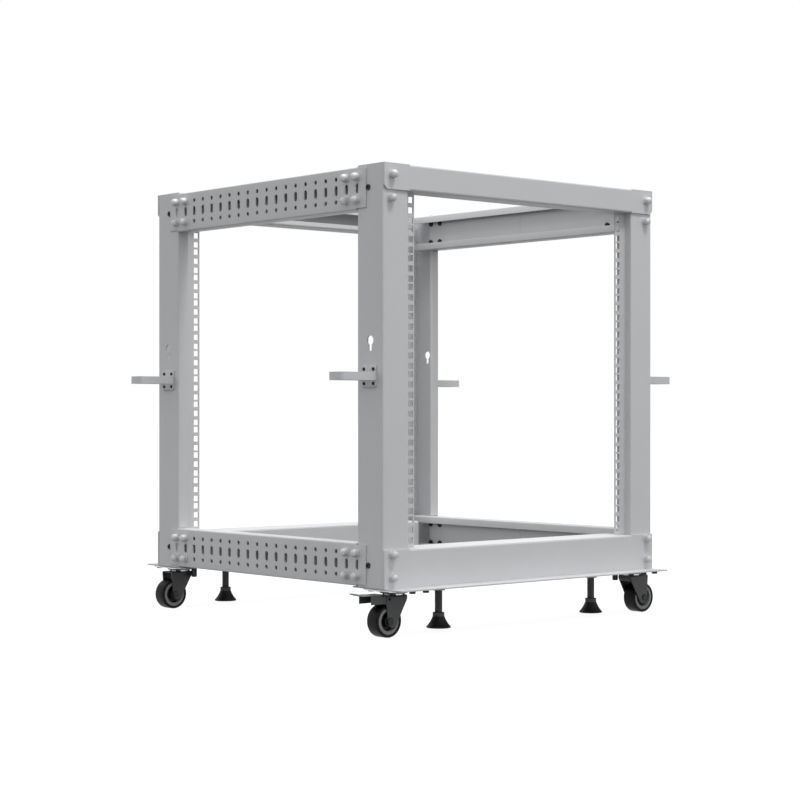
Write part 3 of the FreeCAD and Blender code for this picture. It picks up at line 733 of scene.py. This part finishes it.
def cheek_corner(point, side):
    """Where a line past the rounded end meets its lowest level, and how far on from its touch."""
    reach = point - eye
    angle = atan2(reach.z, reach.x) + side * acos(FORK_EYE_RADIUS / Vector((reach.x, reach.z)).length)
    touch = Vector((eye.x + FORK_EYE_RADIUS * cos(angle), point.y, eye.z + FORK_EYE_RADIUS * sin(angle)))
    corner = point + (touch - point) * ((eye.z - FORK_EYE_RADIUS - point.z) / (touch.z - point.z))
    return corner, (corner - touch).length


def sheet_arch(bm, sheet):
    """Mirrors half of a bent sheet about the swivel's plane and gives it its thickness, inwards."""
    bmesh.ops.mirror(bm, geom=bm.verts[:] + bm.edges[:] + bm.faces[:], axis="Y", merge_dist=MERGE_REACH,
                     matrix=Matrix.Translation((0, -swivel.y, 0)))
    bmesh.ops.remove_doubles(bm, verts=bm.verts, dist=MERGE_REACH)
    bmesh.ops.recalc_face_normals(bm, faces=bm.faces)
    thicken(bm, bm.faces[:], sheet, (0, 0, 1))


def fork_mesh():
    outside = swivel.y - FORK_HALF
    trail, lead = swivel.x - FORK_LENGTH / 2, swivel.x + FORK_LENGTH / 2
    crown_trail = Vector((trail, outside, crown_top - FORK_BEND))
    crown_lead = Vector((lead, outside, crown_top - FORK_BEND))
    shoulder = Vector((lead, outside, crown_top - FORK_SHOULDER))
    lead_corner, lead_run = cheek_corner(shoulder, -1)
    trail_corner, trail_run = cheek_corner(crown_trail, 1)
    bm = bmesh.new()
    outline = [bm.verts.new(point)
               for point in (crown_trail, crown_lead, shoulder, lead_corner, trail_corner)]
    bm.faces.new(outline)
    bevel(bm, [outline[3]], lead_run * 0.999, 8, "VERTICES")
    bevel(bm, [outline[4]], trail_run * 0.999, 10, "VERTICES")
    top_edge = [e for e in bm.edges if all(abs(v.co.z - crown_lead.z) < CLOSE for v in e.verts)]
    bevel(bm, [v for v in bm.verts if (v.co - shoulder).length < 1e-6], SHOULDER_ROUND, 3, "VERTICES")
    bend = fold(bm, top_edge, (0, outside + FORK_BEND, crown_top - FORK_BEND), (-1, 0, 0))
    draw_out(bm, bend, (0, FORK_HALF - FORK_BEND, 0))
    sheet_arch(bm, FORK_SHEET)
    inner = FORK_HALF - FORK_SHEET + WELD
    skirt = block(bm, (lead - FORK_SHEET, swivel.y - inner, crown_top - FORK_SKIRT),
                  (lead, swivel.y + inner, crown_top - FORK_SHEET + WELD))
    bevel(bm, skirt["y"], EASE, 2)
    return finished_mesh(bm, "caster_fork")


fork = fork_mesh()

# Black stove enamel: a thin smooth coat with a half gloss over pressed steel
black_enamel, tree, shader, where = start_material("black_stove_enamel", "#303132", 0.42)
colour_drift(tree, shader, where, 0.02, "#2C2D2E", "#353637")
surface_relief(tree, shader, where, 0.0012, 0.00001, 0.0004)

for corner in CORNERS:
    add_piece(f"pressed_fork_{corner}", f"caster_{corner}", black_enamel,
              [(fork, mirrored(corner))], (f"caster_fork_{corner}",))


# --- Caster axles ---------------------------------------------------------
# A steel rivet through both cheeks, set over into a low round head.
AXLE_RADIUS = 0.004
AXLE_HEAD = (0.0056, 0.0018)  # radius and height
HEAD_ROUND = 0.001
HEAD_CROWN = 0.0003           # rise of the head over its inner half

bm = bmesh.new()
head_top = FORK_HALF + AXLE_HEAD[1]
one_end = [(AXLE_RADIUS, FORK_HALF), (AXLE_HEAD[0], FORK_HALF)]
one_end += arc((AXLE_HEAD[0] - HEAD_ROUND, FORK_HALF + HEAD_ROUND), HEAD_ROUND, 0, 60, 4)
one_end += [(AXLE_HEAD[0] * 0.5, head_top - HEAD_CROWN), (0, head_top)]
turned(bm, [(radius, -height) for radius, height in reversed(one_end)] + one_end, axle, (0, 1, 0))
axle_rivet = finished_mesh(bm, "axle_rivet")
for corner in CORNERS:
    add_piece(f"axle_rivet_{corner}", f"caster_{corner}", black_oxide,
              [(axle_rivet, mirrored(corner))], (f"caster_axle_{corner}",))


# --- Wheels ---------------------------------------------------------------
# A black polyurethane tyre, cast on a nylon wheel whose rim shows as a paler
# ring, proud at its inner edge. The wheel's centre is recessed between rim and
# boss, and coloured near black as painted shade.
WHEEL_RADIUS = axle.z
TYRE_HALF = 0.0122
TYRE_ROUND = 0.0024
TYRE_CROWN = 0.0003           # fall of the tread and of the sides
TYRE_SEAT_HALF = 0.004
RIM = (0.0153, 0.0206)        # inner and outer radius
RIM_STEP = 0.0003             # from the tyre's side down to the rim
RIM_SLOPE = 0.0010
RIM_BEAD = ((0, -0.0008), (0.0004, -0.0002), (0.0012, 0))  # its round inner edge, outwards and up
WEB_HALF = 0.0040
WEB_SEAT_HALF = 0.003
BOSS_RADIUS = 0.0078
BOSS_HALF = 0.0124
BOSS_CHAMFER = 0.0006
BOSS_FOOT = ((0.0006, 0.0010), (0.0016, 0))                # fillet from the boss down to the web
RIM_FOOT = ((-0.0018, 0), (0.0002, 0.0016))                # and from the web up to the rim
WHEEL_STEPS = 64


def both_sides(profile):
    """A closed profile that is the same to both sides of the wheel's middle."""
    return profile + [(radius, -height) for radius, height in reversed(profile)]


bm = bmesh.new()
shoulder = arc((WHEEL_RADIUS - TYRE_ROUND, TYRE_HALF - TYRE_ROUND), TYRE_ROUND, 90, 0, 8)
crowned = [(radius - TYRE_CROWN * (1 - k / 8), height) for k, (radius, height) in enumerate(shoulder)]
turned(bm, both_sides([(RIM[1], TYRE_SEAT_HALF), (RIM[1], TYRE_HALF - TYRE_CROWN)] + crowned
                      + [(WHEEL_RADIUS, 0.001)]), axle, (0, 1, 0), WHEEL_STEPS, closed=True)
tyre = finished_mesh(bm, "tyre", 0.9)

bm = bmesh.new()
rim_face = TYRE_HALF - RIM_STEP
turned(bm, both_sides([(RIM[0], TYRE_SEAT_HALF)]
                      + [(RIM[0] + out, rim_face + rise) for out, rise in RIM_BEAD]
                      + [(RIM[1] - 0.001, rim_face - RIM_SLOPE * 0.8), (RIM[1], rim_face - RIM_SLOPE)]),
       axle, (0, 1, 0), WHEEL_STEPS, closed=True)
rim_ring = finished_mesh(bm, "rim_ring")

bm = bmesh.new()
bore = AXLE_RADIUS + 0.0001
turned(bm, both_sides([(bore, WEB_SEAT_HALF), (bore, BOSS_HALF), (BOSS_RADIUS - BOSS_CHAMFER, BOSS_HALF),
                       (BOSS_RADIUS, BOSS_HALF - BOSS_CHAMFER)]
                      + [(BOSS_RADIUS + out, WEB_HALF + rise) for out, rise in BOSS_FOOT]
                      + [(RIM[0] + out, WEB_HALF + rise) for out, rise in RIM_FOOT]),
       axle, (0, 1, 0), WHEEL_STEPS, closed=True)
hub = finished_mesh(bm, "hub")

# Cast polyurethane: black, smooth, with a broad soft shine and faint scuffs round the tread
tyre_black, tree, shader, where = start_material("cast_polyurethane_black", "#0C0C0D", 0.40)
colour_drift(tree, shader, where, 0.008, "#0A0A0B", "#101011")
shader.inputs["Specular IOR Level"].default_value = 0.14
scuffs = surface_relief(tree, shader, where, 0.0015, 0.00003)
worn = add_node(tree, "ShaderNodeMapRange", {"Value": scuffs, "To Min": 0.32, "To Max": 0.48})
tree.links.new(worn.outputs[0], shader.inputs["Roughness"])

# Moulded nylon: mid grey at the rim, with a waxy half gloss. The centre is the same nylon made near black,
# painted shade in the wheel's recess
rim_nylon, tree, shader, where = start_material("moulded_nylon_grey", "#858688", 0.45)
colour_drift(tree, shader, where, 0.01, "#7E7F81", "#8C8D8F")
surface_relief(tree, shader, where, 0.0012, 0.00001)
hub_nylon_painted_shade, tree, shader, where = start_material("moulded_nylon_painted_shade", "#101011", 0.5)
colour_drift(tree, shader, where, 0.01, "#0D0D0E", "#141415")
shader.inputs["Specular IOR Level"].default_value = 0.3
surface_relief(tree, shader, where, 0.0012, 0.00001)

for corner in CORNERS:
    wheel = f"wheel_{corner}"
    add_piece(f"cast_tyre_{corner}", wheel, tyre_black, [(tyre, mirrored(corner))],
              (f"wheel_tyre_{corner}",))
    add_piece(f"rim_ring_{corner}", wheel, rim_nylon, [(rim_ring, mirrored(corner))])
    add_piece(f"moulded_hub_{corner}", wheel, hub_nylon_painted_shade, [(hub, mirrored(corner))],
              (f"wheel_hub_{corner}",))


# --- Brake pedals ---------------------------------------------------------
# A pressed steel hood over the rear of the wheel, on a pin through the fork,
# with a tab for the toe that turns up at its end. The hood is black; the tab
# is plated, in the zinc darkened as painted shade.
HOOD_REACH = 0.0503
HOOD_TOP = 0.0657
HOOD_FOOT = 0.0519
PEDAL_SHEET = 0.0016
PEDAL_EAR_GAP = 0.0004
PEDAL_EAR_HALF = 0.004
EAR_ROUND = 0.003
HOOD_GAP = 0.001              # between the fork's crown and the hood
BRIDGE_INSET = 0.0003
TAB_OVERHANG = 0.024
TAB_FLAT = 0.012              # of the overhang, before it turns up
TAB_RISE = 0.0033
TAB_WIDTH = 0.020
TAB_SHEET = 0.0018
TAB_CORNER = 0.004
TAB_LAP = 0.006               # what lies on the hood
TAB_SINK = 0.001              # how deep it is pressed into the hood
PIN_RADIUS = 0.002

pin = joint_place["brake_front_left"]


def hood_mesh():
    outside = swivel.y - FORK_HALF
    start, end = swivel.x - HOOD_REACH, swivel.x - FORK_LENGTH / 2 - HOOD_GAP
    bm = bmesh.new()
    side = [bm.verts.new((x, outside, HOOD_FOOT)) for x in (start, end)]
    side_top = draw_out(bm, [bm.edges.new(side)], (0, 0, HOOD_TOP - FORK_BEND - HOOD_FOOT))
    bend = fold(bm, side_top, (0, outside + FORK_BEND, HOOD_TOP - FORK_BEND), (-1, 0, 0))
    draw_out(bm, bend, (0, FORK_HALF - FORK_BEND, 0))
    sheet_arch(bm, PEDAL_SHEET)
    ear_side = FORK_HALF - FORK_SHEET - PEDAL_EAR_GAP
    ear_end = pin.x + PEDAL_EAR_HALF
    bridge_half = FORK_HALF - BRIDGE_INSET
    bridge = block(bm, (end - PEDAL_SHEET, swivel.y - bridge_half, pin.z - PEDAL_EAR_HALF),
                   (end, swivel.y + bridge_half, pin.z + PEDAL_EAR_HALF))
    bevel(bm, bridge["y"], EASE, 1)
    for way in (-1, 1):
        inner = swivel.y + way * (ear_side - PEDAL_SHEET)
        outer = swivel.y + way * ear_side
        ear = block(bm, (end - PEDAL_SHEET / 2, min(inner, outer), pin.z - PEDAL_EAR_HALF),
                    (ear_end, max(inner, outer), pin.z + PEDAL_EAR_HALF))
        bevel(bm, [e for e in ear["y"] if e.verts[0].co.x > end], EAR_ROUND, 4)
    turned(bm, [(0, -FORK_HALF), (PIN_RADIUS, -FORK_HALF), (PIN_RADIUS, FORK_HALF), (0, FORK_HALF)],
           (pin.x, swivel.y, pin.z), (0, 1, 0), 20)
    return finished_mesh(bm, "brake_hood")


def tab_mesh():
    """A flat tab on the hood, bent up a little past the hood's end, with a rounded tip."""
    end = swivel.x - HOOD_REACH
    tip = end - TAB_OVERHANG
    foot = HOOD_TOP - TAB_SINK
    bm = rounded_plate((tip, swivel.y - TAB_WIDTH / 2, foot),
                       (end + TAB_LAP, swivel.y + TAB_WIDTH / 2, foot + TAB_SHEET), "z", TAB_CORNER)
    bmesh.ops.bisect_plane(bm, geom=bm.verts[:] + bm.edges[:] + bm.faces[:], plane_co=(end - TAB_FLAT, 0, 0),
                           plane_no=(1, 0, 0))
    raised = TAB_OVERHANG - TAB_FLAT
    for vert in bm.verts:
        vert.co.z += TAB_RISE * max(0.0, end - TAB_FLAT - vert.co.x) / raised
    return finished_mesh(bm, "brake_tab")


hood = hood_mesh()
tab = tab_mesh()
for corner in BRAKED:
    add_piece(f"brake_hood_{corner}", f"brake_{corner}", black_enamel,
              [(hood, mirrored(corner))], (f"caster_brake_{corner}",))
    add_piece(f"brake_tab_{corner}", f"brake_{corner}", zinc_painted_shade, [(tab, mirrored(corner))])


# --- Levelling feet -------------------------------------------------------
# A phosphated steel rod, threaded its whole length, turned by a collar, in a
# moulded pad that flares to the floor.
THREAD_PITCH = 0.0015
THREAD_DEPTH = 0.0003
STEM_RADIUS = 0.0060
STEM_CHAMFER = 0.0006
COLLAR_RADIUS = 0.0092
COLLAR_HEIGHT = 0.006
COLLAR_ROUND = 0.0007
PAD_RIM = 0.0028
PAD_EASE = (0.0005, 0.0006, 0.0008)  # of the rim: under it in and up, and over it
PAD_LEDGE = 0.0012            # from the rim in to the flare
PAD_HOLLOW = 0.0008
PAD_RINGS = 8
PAD_STEPS = 64

pad_low, pad_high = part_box("foot_pad_front_left")
stem_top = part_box("foot_stem_front_left")[1].z
foot_axis = Vector(((pad_low.x + pad_high.x) / 2, (pad_low.y + pad_high.y) / 2, 0))
pad_radius = (pad_high.x - pad_low.x) / 2

bm = bmesh.new()
thread_start = pad_high.z + COLLAR_HEIGHT
turns = int((stem_top - thread_start) / THREAD_PITCH)
core = STEM_RADIUS - THREAD_DEPTH
rod = [(0, pad_low.z + PAD_RIM), (core, pad_low.z + PAD_RIM), (core, thread_start)]
for turn in range(turns):
    valley = thread_start + turn * THREAD_PITCH
    rod += [(radius, valley + share * THREAD_PITCH)
            for radius, share in ((core, 0.1), (STEM_RADIUS, 0.45), (STEM_RADIUS, 0.6), (core, 0.95))]
turned(bm, rod + [(core - STEM_CHAMFER, stem_top), (0, stem_top)], foot_axis, (0, 0, 1), 24)
collar_low = pad_high.z
turned(bm, [(core, collar_low), (COLLAR_RADIUS, collar_low)]
       + arc((COLLAR_RADIUS - COLLAR_ROUND, thread_start - COLLAR_ROUND), COLLAR_ROUND, 0, 90, 3)
       + [(core, thread_start)], foot_axis, (0, 0, 1), 48, closed=True)
stem = finished_mesh(bm, "threaded_stem", 0.35)

bm = bmesh.new()
socket = STEM_RADIUS + 0.0001
rim_top = pad_low.z + PAD_RIM
flare = [(pad_radius - PAD_EASE[0], pad_low.z), (pad_radius, pad_low.z + PAD_EASE[1]),
         (pad_radius, rim_top - PAD_EASE[2]), (pad_radius - PAD_EASE[2], rim_top)]
height = pad_high.z - pad_low.z - PAD_RIM
for k in range(1, PAD_RINGS + 1):
    share = k / PAD_RINGS
    radius = COLLAR_RADIUS + (pad_radius - PAD_LEDGE - COLLAR_RADIUS) * (1 - share)
    radius -= PAD_HOLLOW * sin(pi * share)
    flare.append((radius, rim_top + height * share))
turned(bm, [(socket, pad_low.z)] + flare + [(socket, pad_high.z)], foot_axis, (0, 0, 1), PAD_STEPS,
       closed=True)
pad = finished_mesh(bm, "moulded_pad")

# Phosphated steel: an even dark grey, dry and matt
phosphate, tree, shader, where = start_material("phosphated_steel", "#38393B", 0.55)
colour_drift(tree, shader, where, 0.01, "#333436", "#3E3F41")
surface_relief(tree, shader, where, 0.0006, 0.00001)

# Moulded rubber filled plastic: soft black, nearly matt
pad_black, tree, shader, where = start_material("moulded_plastic_black", "#0F0F10", 0.5)
colour_drift(tree, shader, where, 0.01, "#0D0D0E", "#141415")
shader.inputs["Specular IOR Level"].default_value = 0.3
surface_relief(tree, shader, where, 0.0010, 0.00002)

for corner in CORNERS:
    foot = f"foot_{corner}"
    add_piece(f"threaded_stem_{corner}", foot, phosphate, [(stem, mirrored(corner))],
              (f"foot_stem_{corner}",))
    add_piece(f"moulded_pad_{corner}", foot, pad_black, [(pad, mirrored(corner))],
              (f"foot_pad_{corner}",))
